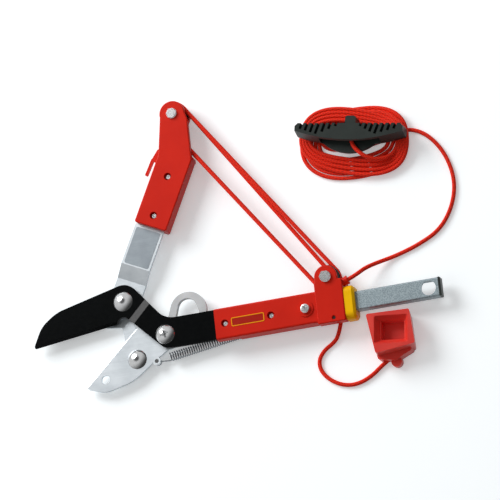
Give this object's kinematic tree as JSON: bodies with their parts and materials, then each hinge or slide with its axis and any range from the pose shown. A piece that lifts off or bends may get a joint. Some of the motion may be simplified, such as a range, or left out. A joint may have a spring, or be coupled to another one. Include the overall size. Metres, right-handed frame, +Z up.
{
  "type": "rope operated pole lopper head",
  "caption": "Bypass lopper head for a pole: a rope tackle swings a lever arm that closes a hooked blade against a fixed black blade, with spring, tang, tang cap, coiled pull cord and grip.",
  "frame": {"origin": "centre of the bore at the tang's end, half way through its wall", "axes": "+X along the tang away from the jaws, +Z up through the bore, the tool lying flat"},
  "size_m": [0.4523, 0.3229, 0.0307],
  "materials": {
    "black_steel": "black non-stick coating, satin",
    "blade_steel": "ground and lightly brushed",
    "rivet_steel": "polished",
    "screw_steel": "zinc plated",
    "spring_steel": "drawn wire",
    "zinc_tang": "galvanised, mottled",
    "pale_nylon": "natural nylon",
    "red_plastic": "moulded, semi-gloss",
    "red_clear_plastic": "flexible, slightly translucent",
    "yellow_plastic": "moulded",
    "dark_plastic": "moulded",
    "foil_label": "blank foil",
    "red_rope": "braided polyester"
  },
  "bodies": {
    "arm": {"fixed_blade": "black_steel", "stop_loop": "pale_nylon", "return_spring": "spring_steel", "spring_anchor_pin": "rivet_steel", "lever_pivot_rivet": "rivet_steel", "jaw_pivot_bolt": "rivet_steel", "jaw_pivot_washer": "rivet_steel", "jaw_pivot_nut": "rivet_steel", "tang": "zinc_tang", "tang_end_plug": "dark_plastic", "collar": "yellow_plastic", "arm_casing_top": "red_plastic", "arm_casing_bottom": "red_plastic", "arm_casing_screws": "screw_steel", "arm_casing_nuts": "screw_steel", "tang_screw": "screw_steel", "tang_nut": "screw_steel", "head_block_top": "red_plastic", "head_block_bottom": "red_plastic", "head_axle_bolt": "screw_steel", "head_axle_nut": "screw_steel", "cord_guide": "red_plastic", "head_rope_turns": "red_rope", "tackle_strands": "red_rope", "tether_pin": "screw_steel", "tether_root": "red_rope", "tether_cord": "red_rope", "tang_cap": "red_clear_plastic", "pull_cord_run": "red_rope", "pull_cord_coil": "red_rope", "pull_handle": "dark_plastic", "handle_knot": "red_rope"},
    "lever": {"lever_bar": "blade_steel", "lever_label": "foil_label", "crank_pin": "rivet_steel", "lever_casing_top": "red_plastic", "lever_casing_bottom": "red_plastic", "lever_casing_screws": "screw_steel", "lever_casing_nuts": "screw_steel", "lever_axle_bolt": "screw_steel", "lever_axle_nut": "screw_steel", "lever_rope_turns": "red_rope"},
    "hook": {"hook_blade": "blade_steel", "link_rivet": "rivet_steel", "spring_stud": "rivet_steel"},
    "link": {"drive_link": "blade_steel"},
    "head_wheel_upper": {"head_pulley_upper": "dark_plastic"},
    "head_wheel_lower": {"head_pulley_lower": "dark_plastic"},
    "lever_wheel_upper": {"lever_pulley_upper": "dark_plastic"},
    "lever_wheel_lower": {"lever_pulley_lower": "dark_plastic"}
  },
  "joints": [
    {"name": "lever_pivot", "type": "hinge", "parent": "arm", "child": "lever", "pos_m": [-0.318, 0.042, 0], "axis": [0, 0, 1], "range_deg": [-50, 0], "deforming": ["tackle_strands"]},
    {"name": "jaw_pivot", "type": "hinge", "parent": "arm", "child": "hook", "pos_m": [-0.277, 0, 0], "axis": [0, 0, 1], "range_deg": [-34, 0], "stiffness_Nm_per_rad": 0.6, "springref_deg": 8.59, "deforming": ["return_spring"]},
    {"name": "link_pivot", "type": "hinge", "parent": "hook", "child": "link", "pos_m": [-0.3105, -0.019, 0], "axis": [0, 0, 1], "range_deg": [0, 35.35]},
    {"name": "head_pulley_upper_spin", "type": "hinge", "parent": "arm", "child": "head_wheel_upper", "pos_m": [-0.103, 0.0284, 0], "axis": [0, 0, 1], "continuous": true},
    {"name": "head_pulley_lower_spin", "type": "hinge", "parent": "arm", "child": "head_wheel_lower", "pos_m": [-0.103, 0.0284, 0], "axis": [0, 0, 1], "continuous": true},
    {"name": "lever_pulley_upper_spin", "type": "hinge", "parent": "lever", "child": "lever_wheel_upper", "pos_m": [-0.24428, 0.22571, 0], "axis": [0, 0, 1], "continuous": true},
    {"name": "lever_pulley_lower_spin", "type": "hinge", "parent": "lever", "child": "lever_wheel_lower", "pos_m": [-0.24428, 0.22571, 0], "axis": [0, 0, 1], "continuous": true}
  ],
  "couplings": [
    {"joint": "jaw_pivot", "follows": "lever_pivot", "ratio": 0.68},
    {"joint": "link_pivot", "follows": "lever_pivot", "ratio": -0.707}
  ]
}
